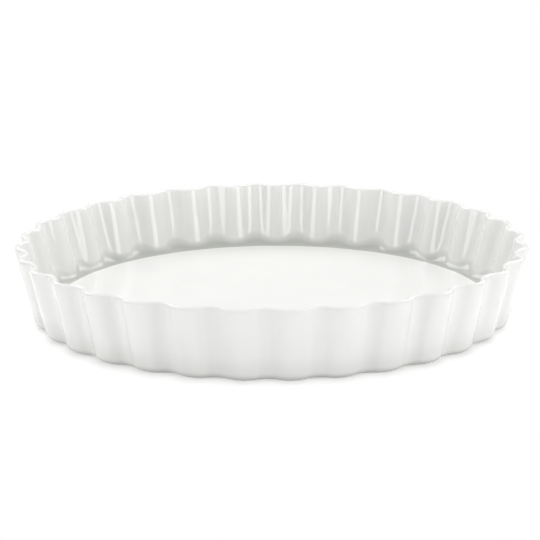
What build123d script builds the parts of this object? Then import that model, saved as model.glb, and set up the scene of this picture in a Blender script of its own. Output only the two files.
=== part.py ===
from build123d import *
import math
import os

# A round fluted quiche dish in glazed porcelain. Millimetres, +Z up, origin on the table at the middle.

# Driving dimensions of the finished, glazed dish
rim_diameter = 280.0        # across the crests of the flutes, where the rim is widest
height = 39.6               # table to the crest of the rim
wall_spread = 9.5           # how far the wall leans out between the table and the rim
rim_flute_depth = 4.9       # crest to valley at the rim
foot_flute_depth = 3.2      # crest to valley at the table
rim_wall = 2.9              # thickness of the wall at the rim
foot_wall = 4.4             # thickness of the wall at the table
foot_round = 5.5            # radius that rolls the wall under to the foot ring
floor_height = 4.8          # table to the inside floor
cove_reach = 4.4            # from the inward bulges of the wall to the flat part of the floor
foot_ring = 12.5            # from the line of the wall at the table to the recess inside the foot ring
recess_depth = 1.0          # table to the glazed underside
recess_slope = 1.4          # how far the side of the recess leans in
glaze = 0.25                # thickness of the glass layer
bare_foot = 0.9             # height over the table that is wiped free of glaze

# Counts, and the flat on the crest as a share of the radius there
flute_count = 32
bare_steps = 2              # sections round the bare foot, below the edge of the glaze
round_steps = 3             # sections from the edge of the glaze to the straight wall
cove_steps = 4
crest_steps = 3
crest_flat_share = 0.17
floor_edge_share = 0.03     # of the cove's turn, left to the floor, so that its edge keeps a trace of the flutes

half_pitch = math.pi / flute_count
crest_radius = rim_wall / 2
crest_centre = height - crest_radius
rim_radius = rim_diameter / 2
foot_radius = rim_radius - wall_spread      # where the line of the wall would meet the table
recess_radius = foot_radius - foot_ring
lean = math.atan2(wall_spread, crest_centre)
upright = math.pi / 2 - lean


def wall_between(at_foot, at_rim, level):
    """A size of the wall at a height, which changes evenly from the table to the rim."""
    return at_foot + (at_rim - at_foot) * min(level / crest_centre, 1)


def half_wall(level):
    """Half the thickness of the wall at a height, measured level."""
    return wall_between(foot_wall, rim_wall, level) / 2


def flute_points(level, offset):
    """One flute as (radius, angle) of its crest, its shoulder and its valley, beside the middle of the wall.

    The middle of the wall follows equal arcs, bent out and in by turns, each tangent to the next. Moving the
    points by the offset keeps every arc about its own centre, so the wall is equally thick all round.
    """
    depth = wall_between(foot_flute_depth, rim_flute_depth, level) / 2
    crest = wall_between(foot_radius, rim_radius, level) - half_wall(level)
    middle = crest - depth
    turn = math.sin(half_pitch / 2) ** 2
    slope = depth * (1 - turn)
    arc = (math.sqrt(slope**2 + turn * (depth * slope + turn * middle**2)) - slope) / turn
    crest_arc = middle + depth - arc
    valley_arc = middle - depth + arc
    reach = (arc + offset) / (2 * arc)
    along = crest_arc + (valley_arc * math.cos(half_pitch) - crest_arc) * reach
    across = valley_arc * math.sin(half_pitch) * reach
    return (
        (crest + offset, 0.0),
        (math.hypot(along, across), math.atan2(across, along)),
        (crest - 2 * depth + offset, half_pitch),
    )


def fluted_face(level, points):
    """A level face inside the fluted line through the points of one flute, repeated all round."""
    crest, shoulder, valley = points

    def place(radius, angle):
        return (radius * math.cos(angle), radius * math.sin(angle))

    with BuildLine() as flute:
        after = place(*shoulder)
        ThreePointArc(place(shoulder[0], -shoulder[1]), place(*crest), after)
        ThreePointArc(after, place(*valley), place(shoulder[0], 2 * half_pitch - shoulder[1]))
    with BuildSketch(Plane.XY.offset(level)) as section:
        with BuildLine():
            with PolarLocations(0, flute_count):
                add(flute.line)
        make_face()
    return section.sketch.face()


def crest_round(skin):
    """Heights and offsets of the rounded rim, from the straight wall to the flat on its crest."""
    radius = crest_radius - skin
    last = math.acos(crest_flat_share)
    for step in range(crest_steps + 1):
        angle = last * step / crest_steps
        yield crest_centre + radius * math.sin(angle) / math.sin(last), radius * math.cos(angle)


def outside_faces(skin):
    """Sections of the outside, from the table to the crest, a skin's thickness under the glazed surface."""
    glaze_edge = math.acos(1 - bare_foot / foot_round)
    angles = [glaze_edge * step / bare_steps for step in range(bare_steps)]
    angles += [glaze_edge + (upright - glaze_edge) * step / round_steps for step in range(round_steps + 1)]
    faces = []
    for angle in angles:
        level = foot_round * (1 - math.cos(angle))
        inset = foot_round * (math.tan(upright / 2) - math.sin(angle)) + level * math.tan(lean)
        faces.append(fluted_face(level, flute_points(level, half_wall(level) - skin - inset)))
    for level, offset in crest_round(skin):
        faces.append(fluted_face(level, flute_points(level, offset)))
    return faces


def floor_radius():
    """Radius of the flat floor, a cove's reach in from the bulges of the wall."""
    return flute_points(floor_height, -half_wall(floor_height))[2][0] - cove_reach


def cove_radius(foot):
    """Radius of the cove from the edge of the floor to a line of the wall that starts at a foot radius."""
    return (foot - floor_radius()) / math.tan(upright / 2)


def hollow_points(level, skin):
    """The inside of the wall at a height, drawn in where the cove carries it to the round floor."""
    floor = floor_height - skin
    wall = flute_points(level, skin - half_wall(level))
    foot = flute_points(floor, skin - half_wall(floor))
    rise = level - floor
    drawn = []
    for (radius, angle), (foot_radius, _) in zip(wall, foot):
        cove = cove_radius(foot_radius)
        if rise < cove * (1 - math.sin(lean)):
            radius = floor_radius() + math.sqrt(cove**2 - (cove - rise) ** 2)
        drawn.append((radius, angle))
    return drawn


def hollow_faces(skin):
    """Sections of the hollow, from the floor to the crest, a skin's thickness under the glazed surface."""
    floor = floor_height - skin
    widest_cove = cove_radius(flute_points(floor, skin - half_wall(floor))[0][0])
    faces = []
    for step in range(cove_steps + 1):
        share = floor_edge_share + (1 - floor_edge_share) * step / cove_steps
        level = floor + widest_cove * (1 - math.cos(upright * share))
        faces.append(fluted_face(level, hollow_points(level, skin)))
    for level, offset in crest_round(skin):
        faces.append(fluted_face(level, flute_points(level, -offset)))
    return faces


def side_faces(sections):
    """The faces that join a row of sections, without the sections at its two ends."""
    with BuildPart() as stack:
        loft(sections, ruled=True)
    return stack.faces().sort_by(Axis.Z)[1:-1]


def level_ring(wide, narrow):
    """The level face between the outlines of two sections at one height."""
    return Face(wide.outer_wire(), [narrow.outer_wire()])


def solid_inside(*surfaces):
    """The solid that a closed set of faces goes round."""
    return Solid(Shell([face for surface in surfaces for face in surface]))


# Sections of the finished surfaces, and of the fired body's, a glaze thickness under them
glazed_outside = outside_faces(0)
glazed_hollow = hollow_faces(0)
bare_outside = outside_faces(glaze)
bare_hollow = hollow_faces(glaze)

# The two glazes meet on the crest of the rim, along the middle of the wall
meeting_foot, meeting_top = (
    fluted_face(level, flute_points(level, 0)) for level in (height - glaze, height)
)
meeting = side_faces([meeting_foot, meeting_top])

# The fired body: floor, foot ring, fluted wall and rim, with the recess inside the foot ring
with BuildPart() as porcelain_body:
    add(
        solid_inside(
            [bare_outside[0]],
            side_faces(bare_outside),
            [level_ring(bare_outside[-1], bare_hollow[-1])],
            side_faces(bare_hollow),
            [bare_hollow[0]],
        )
    )
    with BuildSketch(Plane.XZ):
        ceiling = recess_depth + glaze
        with BuildLine():
            Polyline(
                (0, 0),
                (recess_radius, 0),
                (recess_radius - recess_slope, ceiling),
                (0, ceiling),
                close=True,
            )
        make_face()
    revolve(axis=Axis.Z, mode=Mode.SUBTRACT)

# The glass over the floor, the cove and the inside of the wall, up to the middle of the crest
with BuildPart() as inner_glaze:
    add(
        solid_inside(
            [bare_hollow[0]],
            side_faces(bare_hollow),
            [level_ring(meeting_foot, bare_hollow[-1])],
            meeting,
            [level_ring(meeting_top, glazed_hollow[-1])],
            side_faces(glazed_hollow),
            [glazed_hollow[0]],
        )
    )

# The glass over the outside of the wall, from the middle of the crest down to the bare foot
with BuildPart() as outer_glaze:
    add(
        solid_inside(
            [level_ring(glazed_outside[bare_steps], bare_outside[bare_steps])],
            side_faces(glazed_outside[bare_steps:]),
            [level_ring(glazed_outside[-1], meeting_top)],
            meeting,
            [level_ring(bare_outside[-1], meeting_foot)],
            side_faces(bare_outside[bare_steps:]),
        )
    )

# The patch of glass on the underside, inside the foot ring
with BuildPart() as underside_glaze:
    with BuildSketch(Plane.XY.offset(recess_depth)):
        Circle(recess_radius - recess_slope)
    extrude(amount=glaze)

os.makedirs("parts", exist_ok=True)
pieces = {
    "porcelain_body": porcelain_body,
    "inner_glaze": inner_glaze,
    "outer_glaze": outer_glaze,
    "underside_glaze": underside_glaze,
}
for name, piece in pieces.items():
    piece.part.label = name
    export_step(piece.part, f"parts/{name}.step")
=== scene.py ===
import math

import bpy
import numpy as np
from mathutils import Matrix, Vector


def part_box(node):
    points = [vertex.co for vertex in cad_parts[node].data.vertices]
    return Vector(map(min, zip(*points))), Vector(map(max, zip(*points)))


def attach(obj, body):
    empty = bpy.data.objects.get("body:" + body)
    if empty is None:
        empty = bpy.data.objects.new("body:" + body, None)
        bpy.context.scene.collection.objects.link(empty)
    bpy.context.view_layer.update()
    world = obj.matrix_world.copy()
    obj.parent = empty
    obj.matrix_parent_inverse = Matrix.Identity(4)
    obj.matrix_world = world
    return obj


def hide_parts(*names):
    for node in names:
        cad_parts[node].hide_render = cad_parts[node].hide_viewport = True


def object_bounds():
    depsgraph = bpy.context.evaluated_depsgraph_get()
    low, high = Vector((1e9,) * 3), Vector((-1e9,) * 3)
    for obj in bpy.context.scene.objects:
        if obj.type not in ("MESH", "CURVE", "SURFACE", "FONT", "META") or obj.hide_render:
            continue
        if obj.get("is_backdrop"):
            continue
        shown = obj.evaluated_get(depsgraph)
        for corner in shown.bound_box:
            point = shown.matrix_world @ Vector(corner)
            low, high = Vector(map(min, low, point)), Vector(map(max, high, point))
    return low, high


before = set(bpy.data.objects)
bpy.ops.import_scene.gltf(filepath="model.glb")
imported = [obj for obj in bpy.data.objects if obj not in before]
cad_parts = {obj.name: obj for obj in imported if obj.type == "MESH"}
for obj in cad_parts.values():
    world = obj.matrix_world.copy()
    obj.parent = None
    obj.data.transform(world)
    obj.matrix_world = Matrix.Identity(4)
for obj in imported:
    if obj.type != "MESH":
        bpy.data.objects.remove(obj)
cad_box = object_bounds()

MM = 0.001

# Sizes of the dish that the frame gives
outer_low, outer_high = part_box("outer_glaze")
inner_low, inner_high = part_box("inner_glaze")
under_low, under_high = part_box("underside_glaze")
RIM_RADIUS = outer_high[0]
HEIGHT = outer_high[2]
BARE_FOOT = outer_low[2]
RECESS_DEPTH = under_low[2]
GLAZE = under_high[2] - under_low[2]
FLOOR = inner_low[2] + GLAZE
PATCH_RADIUS = under_high[0]

# Sizes of the dish that the CAD model names
FLUTES = 32
WALL_SPREAD = 9.5 * MM
RIM_FLUTE_DEPTH = 4.9 * MM
FOOT_FLUTE_DEPTH = 3.2 * MM
RIM_WALL = 2.9 * MM
FOOT_WALL = 4.4 * MM
FOOT_ROUND = 5.5 * MM
COVE_REACH = 4.4 * MM
FOOT_RING = 12.5 * MM

HALF_PITCH = math.pi / FLUTES
CREST_RADIUS = RIM_WALL / 2
CREST_CENTRE = HEIGHT - CREST_RADIUS
FOOT_RADIUS = RIM_RADIUS - WALL_SPREAD
RECESS_RADIUS = FOOT_RADIUS - FOOT_RING
LEAN = math.atan2(WALL_SPREAD, CREST_CENTRE)
UPRIGHT = math.pi / 2 - LEAN
GLAZE_EDGE = math.acos(1 - BARE_FOOT / FOOT_ROUND)

# Sizes that only the finished look has
FOOT_EDGE_ROUND = 0.5 * MM          # takes the sharpness off the inner edge of the foot ring
PATCH_ROLL = 0.22 * MM              # rolls the edge of the glaze on the underside
OUT_OF_ROUND = 0.12 * MM            # at the rim
UNLIKE_FLUTES = 0.1 * MM
RIM_SINK = 0.1 * MM

# Mesh columns: each flute has as many on its crest as in its valley
ARC_COLUMNS = 16
fraction = np.tile(np.linspace(-1, 1, ARC_COLUMNS, endpoint=False), 2 * FLUTES)
on_crest = np.tile(np.repeat([True, False], ARC_COLUMNS), FLUTES)
flute_turn = np.repeat(2 * HALF_PITCH * np.arange(FLUTES), 2 * ARC_COLUMNS)
COLUMNS = len(fraction)

# Mesh rows of the surfaces that are seen
FLOOR_SHARES = (0.08, 0.3, 0.55, 0.75, 0.9, 0.98)
COVE_STEPS = 14
ROUND_STEPS = 10
WALL_STEPS = 14
CREST_STEPS = 11

# How thick the glaze lies, for its colour: it pools in the cove and thins out over the rim. The pooled tint
# is deepened into painted shade in the cove and on the outside's rolled foot, which is darker towards the
# table.
POOLED_AND_SHADED = 1.0
# painted shade: the outside's rolled foot is darkened towards the table
FOOT_PAINTED_SHADE = 0.8
LOW_WALL_DEPTH = 0.5
PLAIN = 0.45
HIGH_WALL_DEPTH = 0.3
CREST_DEPTH = 0.0
# painted shade: this share of the cove, from the floor up, is painted darkest
POOL_AND_SHADE_SHARE = 0.45                   # of the cove, from the floor up


def between(at_foot, at_rim, level):
    """A size of the wall at a height, which changes evenly from the table to the rim."""
    return at_foot + (at_rim - at_foot) * level / CREST_CENTRE


def half_wall(level):
    """Half the thickness of the wall at a height, measured level."""
    return between(FOOT_WALL, RIM_WALL, level) / (2 * math.cos(LEAN))


def fluted(level, offset):
    """Every column of the fluted line at a height, as complex numbers, beside the middle of the wall.

    The middle of the wall follows equal arcs, bent out and in by turns, each tangent to the next.
    """
    level = np.broadcast_to(level, COLUMNS)
    depth = between(FOOT_FLUTE_DEPTH, RIM_FLUTE_DEPTH, level) / 2
    crest = between(FOOT_RADIUS, RIM_RADIUS, level) - between(FOOT_WALL, RIM_WALL, level) / 2
    middle = crest - depth
    turn = math.sin(HALF_PITCH / 2) ** 2
    slope = depth * (1 - turn)
    arc = (np.sqrt(slope**2 + turn * (depth * slope + turn * middle**2)) - slope) / turn
    crest_arc = middle + depth - arc
    valley_arc = middle - depth + arc
    bend = np.arctan2(valley_arc * math.sin(HALF_PITCH), valley_arc * math.cos(HALF_PITCH) - crest_arc)
    outward = crest_arc + (arc + offset) * np.exp(1j * fraction * bend)
    facing = HALF_PITCH - fraction * (bend - HALF_PITCH)
    inward = valley_arc * np.exp(1j * HALF_PITCH) - (arc - offset) * np.exp(1j * facing)
    return np.where(on_crest, outward, inward) * np.exp(1j * flute_turn)


FLOOR_RADIUS = abs(fluted(FLOOR, -half_wall(FLOOR))).min() - COVE_REACH


def wander(angle, *waves):
    """A smooth line between 0 and 1 round the dish, from waves of (share, count, start)."""
    return 0.5 + sum(share * np.sin(count * angle + start) for share, count, start in waves)


def uneven(points, level):
    """The slight unevenness of a fired dish, always inwards: out of round, with flutes not quite alike."""
    angle = np.angle(points)
    share = np.clip(level / HEIGHT, 0, 1)
    shrink = OUT_OF_ROUND * share**2 * wander(angle, (0.3, 2, 0.7), (0.2, 5, 2.1))
    shrink += UNLIKE_FLUTES * share * wander(angle, (0.25, 7, 0.4), (0.25, 13, 1.9))
    sink = RIM_SINK * share**2 * wander(angle, (0.35, 3, 1.2), (0.15, 8, 0.0))
    return points * (1 - shrink / RIM_RADIUS), level - sink


def row(points, level):
    """One row of the mesh, as an array of x, y and z."""
    points, level = uneven(points, np.broadcast_to(level, COLUMNS))
    return np.stack([points.real, points.imag, level], -1)


def disc_row(radius, level):
    """A round row: each column on a circle."""
    angle = np.angle(fluted(0.0, 0.0))
    return np.stack([radius * np.cos(angle), radius * np.sin(angle), np.full(COLUMNS, level)], -1)


def crest_rows(skin, side, steps):
    """The rounded rim, from the wall up to the middle of the crest; side is 1 outside and -1 inside."""
    radius = CREST_RADIUS - skin
    for angle in np.linspace(-side * LEAN, math.pi / 2, steps):
        rise = radius * math.sin(angle)
        offset = side * radius * math.cos(angle) - rise * math.tan(LEAN)
        yield row(fluted(CREST_CENTRE + rise, offset), CREST_CENTRE + rise)


def outside_rows(skin, start, round_steps, wall_steps, crest_steps):
    """The outside, from a place on the rolled edge of the foot up to the crest."""
    for angle in np.linspace(start, UPRIGHT, round_steps):
        level = FOOT_ROUND * (1 - math.cos(angle))
        inset = FOOT_ROUND * (math.tan(UPRIGHT / 2) - math.sin(angle)) + level * math.tan(LEAN)
        yield row(fluted(level, half_wall(level) - skin - inset), level)
    top = CREST_CENTRE - (CREST_RADIUS - skin) * math.sin(LEAN)
    for level in np.linspace(FOOT_ROUND * (1 - math.sin(LEAN)), top, wall_steps + 1)[1:-1]:
        yield row(fluted(level, half_wall(level) - skin), level)
    yield from crest_rows(skin, 1, crest_steps)


def inside_rows(skin, floor_shares, cove_steps, wall_steps, crest_steps):
    """The hollow, from the middle of the floor out to the cove, up the wall and up to the crest."""
    floor = FLOOR - skin
    foot = fluted(floor, skin - half_wall(floor))
    cove = (abs(foot) - FLOOR_RADIUS) / math.tan(UPRIGHT / 2)
    edge = foot / abs(foot) * FLOOR_RADIUS
    for share in floor_shares:
        yield row(edge * share, floor)
    for angle in np.linspace(0, UPRIGHT, cove_steps):
        level = floor + cove * (1 - math.cos(angle))
        wall = fluted(level, skin - half_wall(level))
        yield row(wall / abs(wall) * (FLOOR_RADIUS + cove * math.sin(angle)), level)
    start = floor + cove * (1 - math.sin(LEAN))
    top = CREST_CENTRE + (CREST_RADIUS - skin) * math.sin(LEAN)
    for share in np.linspace(0, 1, wall_steps + 1)[1:-1]:
        level = start + (top - start) * share
        yield row(fluted(level, skin - half_wall(level)), level)
    yield from crest_rows(skin, -1, crest_steps)


def signed_volume(mesh):
    """Six times the volume inside a closed mesh, negative where its faces look inwards."""
    total = 0.0
    for face in mesh.polygons:
        corners = [mesh.vertices[v].co for v in face.vertices]
        for second, third in zip(corners[1:], corners[2:]):
            total += corners[0].dot(second.cross(third))
    return total


def solid_of_rows(name, rows, joined=False):
    """A closed mesh through rows of columns. Its end rows are joined, or each is closed at its middle."""
    verts = np.concatenate(rows)
    column = np.arange(COLUMNS)
    following = np.roll(column, -1)
    last_row = (len(rows) - 1) * COLUMNS
    steps = [(low, low + COLUMNS) for low in range(0, last_row, COLUMNS)]
    if joined:
        steps.append((last_row, 0))
    faces = []
    for low, high in steps:
        faces += np.stack([low + column, low + following, high + following, high + column], -1).tolist()
    if not joined:
        first_middle, last_middle = len(verts), len(verts) + 1
        verts = np.concatenate([verts, [rows[0].mean(0)], [rows[-1].mean(0)]])
        edges = list(zip(column.tolist(), following.tolist()))
        faces += [[first_middle, after, before] for before, after in edges]
        faces += [[last_middle, last_row + before, last_row + after] for before, after in edges]
    mesh = bpy.data.meshes.new(name)
    mesh.from_pydata(verts.tolist(), [], faces)
    mesh.validate()
    if signed_volume(mesh) < 0:
        mesh.flip_normals()
    mesh.shade_smooth()
    piece = bpy.data.objects.new(name, mesh)
    bpy.context.scene.collection.objects.link(piece)
    return piece


def keep_pool_and_shade(piece, pool_and_shade_rows):
    """Stores how thick the glaze lies on each row of a piece, together with the painted shade of the cove
    and the foot, for its colour.
    """
    values = np.repeat(np.asarray(pool_and_shade_rows, float), COLUMNS)
    values = np.concatenate([values, np.full(len(piece.data.vertices) - len(values), values[0])])
    layer = piece.data.attributes.new("glaze_pool_and_shade", "FLOAT", "POINT")
    layer.data.foreach_set("value", values)


def make_inner_glaze():
    """The glaze inside, over floor, cove and wall. It is pooled where the cove meets the floor, and painted
    dark there as shade.
    """
    seen = list(inside_rows(0, FLOOR_SHARES, COVE_STEPS, WALL_STEPS, CREST_STEPS))
    hidden = list(inside_rows(GLAZE, floor_shares=(0.3, 0.9), cove_steps=6, wall_steps=4, crest_steps=5))
    piece = solid_of_rows("glazed_inside", seen + hidden[::-1])
    up_cove = np.linspace(0, 1, COVE_STEPS)[1:]
    pool_and_shade_rows = [PLAIN] * (len(FLOOR_SHARES) + 1)
    # painted shade: the cove is painted dark from the floor up, on top of its pooled glaze
    pool_and_shade_rows += list(np.interp(up_cove, (0, POOL_AND_SHADE_SHARE, 1), (POOLED_AND_SHADED, POOLED_AND_SHADED, PLAIN)))
    pool_and_shade_rows += list(np.linspace(PLAIN, HIGH_WALL_DEPTH, WALL_STEPS - 1))
    pool_and_shade_rows += list(np.linspace(HIGH_WALL_DEPTH, CREST_DEPTH, CREST_STEPS))
    keep_pool_and_shade(piece, pool_and_shade_rows + [HIGH_WALL_DEPTH] * len(hidden))
    return piece


def make_outer_glaze():
    """The glaze outside, from the crest down to the edge that is wiped off the foot."""
    seen = list(outside_rows(0, GLAZE_EDGE, ROUND_STEPS, WALL_STEPS, CREST_STEPS))
    hidden = list(outside_rows(GLAZE, GLAZE_EDGE, ROUND_STEPS, wall_steps=4, crest_steps=5))
    piece = solid_of_rows("glazed_outside", seen + hidden[::-1], joined=True)
    # painted shade: the rolled foot is darker towards the table
    pool_and_shade_rows = list(np.linspace(FOOT_PAINTED_SHADE, LOW_WALL_DEPTH, ROUND_STEPS))
    pool_and_shade_rows += list(np.linspace(LOW_WALL_DEPTH, HIGH_WALL_DEPTH, WALL_STEPS - 1))
    pool_and_shade_rows += list(np.linspace(HIGH_WALL_DEPTH, CREST_DEPTH, CREST_STEPS))
    keep_pool_and_shade(piece, pool_and_shade_rows + [HIGH_WALL_DEPTH] * len(hidden))
    return piece


def make_underside_glaze():
    """The glazed patch inside the foot ring, with a soft roll where the wet glaze drew back."""
    rows = [disc_row(PATCH_RADIUS * share, RECESS_DEPTH) for share in (0.05, 0.3, 0.6, 0.85, 0.97)]
    for angle in np.linspace(0, math.pi / 2, 6):
        radius = PATCH_RADIUS - PATCH_ROLL * (1 - math.sin(angle))
        rows.append(disc_row(radius, RECESS_DEPTH + PATCH_ROLL * (1 - math.cos(angle))))
    rows += [disc_row(PATCH_RADIUS * share, RECESS_DEPTH + GLAZE) for share in (1.0, 0.5, 0.05)]
    piece = solid_of_rows("glazed_underside", rows)
    keep_pool_and_shade(piece, [LOW_WALL_DEPTH] * len(rows))
    return piece


def make_fired_body():
    """The fired body, bare only on the foot ring, with the recess inside the ring."""
    rows = list(inside_rows(GLAZE, floor_shares=(0.1, 0.5, 0.9), cove_steps=8, wall_steps=6, crest_steps=6))
    rows += list(outside_rows(GLAZE, start=0.0, round_steps=14, wall_steps=6, crest_steps=6))[::-1]
    for angle in np.linspace(math.pi / 2, 0, 5):
        radius = RECESS_RADIUS + FOOT_EDGE_ROUND * (1 - math.cos(angle))
        rows.append(disc_row(radius, FOOT_EDGE_ROUND * (1 - math.sin(angle))))
    rows += [disc_row(PATCH_RADIUS * share, RECESS_DEPTH + GLAZE) for share in (1.0, 0.97, 0.05)]
    return solid_of_rows("fired_body", rows)


def node_adder(tree):
    """A function that adds a node to a tree, with its settings, its values and its links."""

    def add(kind, links=(), **settings):
        node = tree.nodes.new("ShaderNode" + kind)
        for key, value in settings.items():
            if key in node.inputs:
                node.inputs[key].default_value = value
            else:
                setattr(node, key, value)
        for socket, source in dict(links).items():
            tree.links.new(source, node.inputs[socket])
        return node

    return add


def empty_material(name):
    """A material without nodes, and the function that adds them."""
    material = bpy.data.materials.new(name)
    material.use_nodes = True
    material.node_tree.nodes.clear()
    return material, node_adder(material.node_tree)


def ramp(add, source, low, high, dark, light):
    """A colour ramp between two colours."""
    node = add("ValToRGB", {"Fac": source})
    for element, position, colour in zip(node.color_ramp.elements, (low, high), (dark, light)):
        element.position = position
        element.color = (*colour, 1)
    return node.outputs["Color"]


def product(add, first, second):
    """Two colours multiplied."""
    mix = add("Mix", {"A": first, "B": second}, data_type="RGBA", blend_type="MULTIPLY", Factor=1.0)
    return mix.outputs["Result"]


def spread(add, source, low, high):
    """A value from 0 to 1, taken to lie between two others."""
    return add("MapRange", {"Value": source}, **{"To Min": low, "To Max": high}).outputs["Result"]


def finish_surface(add, colour, roughness, bump, **values):
    """The shader of a surface, joined to the material's output."""
    links = {"Base Color": colour, "Roughness": roughness, "Normal": bump.outputs["Normal"]}
    shader = add("BsdfPrincipled", links, **values)
    add("OutputMaterial", {"Surface": shader.outputs["BSDF"]})


def make_glaze():
    """Glossy white glaze: greyer where it pools, darkened further with painted shade in the cove and on the
    rolled foot, clouded a little, with a faint swell and a few pinholes.
    """
    material, add = empty_material("white_glaze")
    place = add("TexCoord").outputs["Object"]
    cloud = add("TexNoise", {"Vector": place}, Scale=28.0, Detail=3.0, Roughness=0.55)
    tone = ramp(add, cloud.outputs["Fac"], 0.3, 0.7, (0.868, 0.872, 0.862), (0.892, 0.894, 0.884))
    depth = add("Attribute", attribute_name="glaze_pool_and_shade").outputs["Fac"]
    # painted shade: pooled glaze deepened to dark grey in the cove and on the rolled foot
    pool_and_shade_tint = ramp(add, depth, PLAIN, POOLED_AND_SHADED, (1.0, 0.998, 0.99), (0.56, 0.57, 0.54))
    sheen = add("TexNoise", {"Vector": place}, Scale=70.0, Detail=2.0)
    roughness = spread(add, sheen.outputs["Fac"], 0.02, 0.05)
    wave = add("TexNoise", {"Vector": place}, Scale=45.0, Detail=1.0)
    swell = add("Bump", {"Height": wave.outputs["Fac"]}, Strength=0.04, Distance=0.6 * MM)
    cells = add("TexVoronoi", {"Vector": place}, Scale=260.0, feature="F1")
    pits = add("MapRange", {"Value": cells.outputs["Distance"]}, **{"From Max": 0.06})
    pinhole_links = {"Height": pits.outputs["Result"], "Normal": swell.outputs["Normal"]}
    pinholes = add("Bump", pinhole_links, Strength=0.05, Distance=0.2 * MM)
    finish_surface(add, product(add, tone, pool_and_shade_tint), roughness, pinholes, IOR=1.5)
    return material


def make_bisque():
    """Bare fired porcelain on the foot ring: matt, fine grained, a little warmer than the glaze."""
    material, add = empty_material("fired_porcelain")
    place = add("TexCoord").outputs["Object"]
    grain = add("TexNoise", {"Vector": place}, Scale=900.0, Detail=6.0, Roughness=0.7)
    tone = ramp(add, grain.outputs["Fac"], 0.35, 0.65, (0.74, 0.715, 0.665), (0.84, 0.82, 0.775))
    rubbed = add("TexNoise", {"Vector": place}, Scale=60.0, Detail=4.0)
    wear = ramp(add, rubbed.outputs["Fac"], 0.45, 0.75, (1.0, 1.0, 1.0), (0.9, 0.89, 0.87))
    roughness = spread(add, rubbed.outputs["Fac"], 0.7, 0.95)
    bump = add("Bump", {"Height": grain.outputs["Fac"]}, Strength=0.35, Distance=0.2 * MM)
    finish_surface(add, product(add, tone, wear), roughness, bump)
    return material


glaze = make_glaze()
bisque = make_bisque()
for piece, node, slot, material in (
    (make_inner_glaze(), "inner_glaze", "white_glaze", glaze),
    (make_outer_glaze(), "outer_glaze", "white_glaze", glaze),
    (make_underside_glaze(), "underside_glaze", "white_glaze", glaze),
    (make_fired_body(), "porcelain_body", "fired_porcelain", bisque),
):
    piece.data.materials.append(material)
    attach(piece, "root")
    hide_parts(node)

# The camera, fitted to the rim, the foot and the flutes of the photograph
AZIMUTH = math.radians(-4.355)      # a flute's crest stands this far round from the camera's right
ELEVATION = math.radians(15.189)
DISTANCE = 1152.9 * MM
SIDE, RAISE = -0.98 * MM, 22.2 * MM
ROLL = math.radians(-0.4)
FOCAL_PIXELS, FRAME_PIXELS, SENSOR = 2102.4, 540, 36.0
camera_turn = Matrix.Rotation(AZIMUTH, 3, "Z")


def make_camera():
    """The camera at the photograph's angle, with its slight roll."""
    back, rise = DISTANCE * math.cos(ELEVATION), DISTANCE * math.sin(ELEVATION)
    eye = camera_turn @ Vector((SIDE, -back, RAISE + rise))
    ahead = camera_turn @ Vector((0, math.cos(ELEVATION), -math.sin(ELEVATION)))
    right = camera_turn @ Vector((1, 0, 0))
    up = right.cross(ahead)
    rolled_right = right * math.cos(ROLL) + up * math.sin(ROLL)
    rolled_up = up * math.cos(ROLL) - right * math.sin(ROLL)
    lens = bpy.data.cameras.new("photo_camera")
    lens.sensor_width = SENSOR
    lens.lens = FOCAL_PIXELS / FRAME_PIXELS * SENSOR
    camera = bpy.data.objects.new("photo_camera", lens)
    axes = Matrix((rolled_right, rolled_up, -ahead)).transposed()
    camera.matrix_world = Matrix.Translation(eye) @ axes.to_4x4()
    bpy.context.scene.collection.objects.link(camera)
    bpy.context.scene.camera = camera


# The studio
LAMP_DISTANCE = 1.35
AMBIENT = 0.22
FLOOR_LIFT = 0.42                   # of plain white, added to the floor close to the dish
FLOOR_GAP = 0.02 * MM               # keeps the floor off the foot ring's own face
FLOOR_HALF = 6.0
FADE_START, FADE_END = 1.0 * RIM_RADIUS, 1.7 * RIM_RADIUS


def add_lamp(name, azimuth, elevation, size, radiance, reflected=True):
    """A soft lamp that faces the dish. Its azimuth is 0 behind the camera and 90 to the camera's right."""
    lamp = bpy.data.lights.new(name, "AREA")
    lamp.shape = "RECTANGLE"
    lamp.size, lamp.size_y = size
    lamp.energy = radiance * math.pi * size[0] * size[1]
    holder = bpy.data.objects.new(name, lamp)
    turn, rise = math.radians(azimuth), math.radians(elevation)
    level = Vector((math.sin(turn) * math.cos(rise), -math.cos(turn) * math.cos(rise), math.sin(rise)))
    outward = camera_turn @ level
    place = Matrix.Translation(Vector((0, 0, HEIGHT / 2)) + LAMP_DISTANCE * outward)
    holder.matrix_world = place @ outward.to_track_quat("Z", "Y").to_matrix().to_4x4()
    holder.visible_camera = False
    holder.visible_glossy = reflected
    bpy.context.scene.collection.objects.link(holder)


def light_dish():
    """Soft lamps all round. The glaze shows the two upright strips as bright stripes down its flutes."""
    add_lamp("key_above", 180, 82, (1.0, 1.0), 3.65, reflected=False)
    add_lamp("back_right", 140, 40, (0.7, 0.6), 3.0)
    add_lamp("back_left", -140, 40, (0.7, 0.6), 3.2)
    add_lamp("side_right", 60, 32, (0.6, 0.5), 0.8, reflected=False)
    add_lamp("side_left", -60, 32, (0.6, 0.5), 0.5, reflected=False)
    add_lamp("panel_right", 90, 12, (0.4, 0.5), 1.0, reflected=False)
    add_lamp("panel_left", -90, 12, (0.4, 0.5), 1.0, reflected=False)
    add_lamp("front_right", 10, 12, (0.1, 0.55), 2.4, reflected=False)
    add_lamp("front_left", -20, 12, (0.12, 0.55), 2.4, reflected=False)
    add_lamp("strip_right", 50, 12, (0.6, 0.55), 3.6)
    add_lamp("strip_left", -48, 12, (0.5, 0.55), 3.4)
    add_lamp("low_right", 62, 1.5, (0.8, 0.08), 9.6)
    add_lamp("low_left", -62, 1.5, (0.8, 0.08), 8.2)


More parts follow.
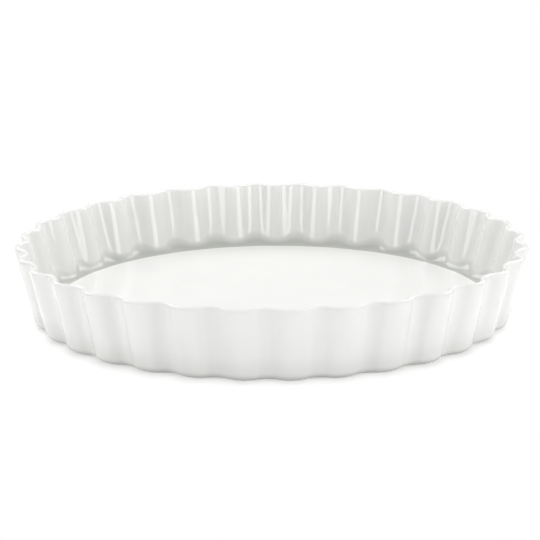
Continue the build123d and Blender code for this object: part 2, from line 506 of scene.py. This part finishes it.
def seen_directly(add):
    """1 for rays from the camera, a glossy surface or glass, which see the white studio as it is."""
    ray = add("LightPath").outputs
    near = add("Math", {0: ray["Is Camera Ray"], 1: ray["Is Glossy Ray"]}, operation="MAXIMUM").outputs[0]
    return add("Math", {0: near, 1: ray["Is Transmission Ray"]}, operation="MAXIMUM").outputs[0]


def blend(add, share, first, second):
    """A mix of two shaders: the first where the share is 0, the second where it is 1."""
    return add("MixShader", {"Fac": share, 1: first, 2: second}).outputs[0]


def make_world():
    """White where it is seen, and a plain soft light for everything else."""
    world = bpy.data.worlds.new("studio")
    world.use_nodes = True
    world.node_tree.nodes.clear()
    add = node_adder(world.node_tree)
    light = add("Background", Strength=AMBIENT).outputs[0]
    white = add("Background").outputs[0]
    add("OutputWorld", {"Surface": blend(add, seen_directly(add), light, white)})
    bpy.context.scene.world = world


def floor_material():
    """Pale paper that shows the dish's shadow, and fades to white away from the dish where it is seen."""
    material, add = empty_material("studio_floor")
    paper = add("BsdfDiffuse", Color=(0.9, 0.9, 0.9, 1)).outputs[0]
    lift = add("Emission", Strength=FLOOR_LIFT).outputs[0]
    lifted = add("AddShader", {0: paper, 1: lift}).outputs[0]
    white = add("Emission").outputs[0]
    place = add("TexCoord").outputs["Object"]
    distance = add("VectorMath", {0: place}, operation="LENGTH").outputs["Value"]
    far = add("MapRange", {"Value": distance}, **{"From Min": FADE_START, "From Max": FADE_END})
    seen = blend(add, far.outputs["Result"], lifted, white)
    add("OutputMaterial", {"Surface": blend(add, seen_directly(add), paper, seen)})
    return material


def make_floor():
    """The sheet that the dish stands on."""
    signs = ((-1, -1), (1, -1), (1, 1), (-1, 1))
    corners = [(x * FLOOR_HALF, y * FLOOR_HALF, -FLOOR_GAP) for x, y in signs]
    mesh = bpy.data.meshes.new("studio_floor")
    mesh.from_pydata(corners, [], [(0, 1, 2, 3)])
    mesh.materials.append(floor_material())
    floor = bpy.data.objects.new("studio_floor", mesh)
    bpy.context.scene.collection.objects.link(floor)
    floor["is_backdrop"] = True


make_camera()
light_dish()
make_world()
make_floor()
bpy.context.scene.view_settings.view_transform = "Standard"

boxes = {"cad": cad_box, "model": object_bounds()}
{name: [list(map(float, corner)) for corner in box] for name, box in boxes.items()}
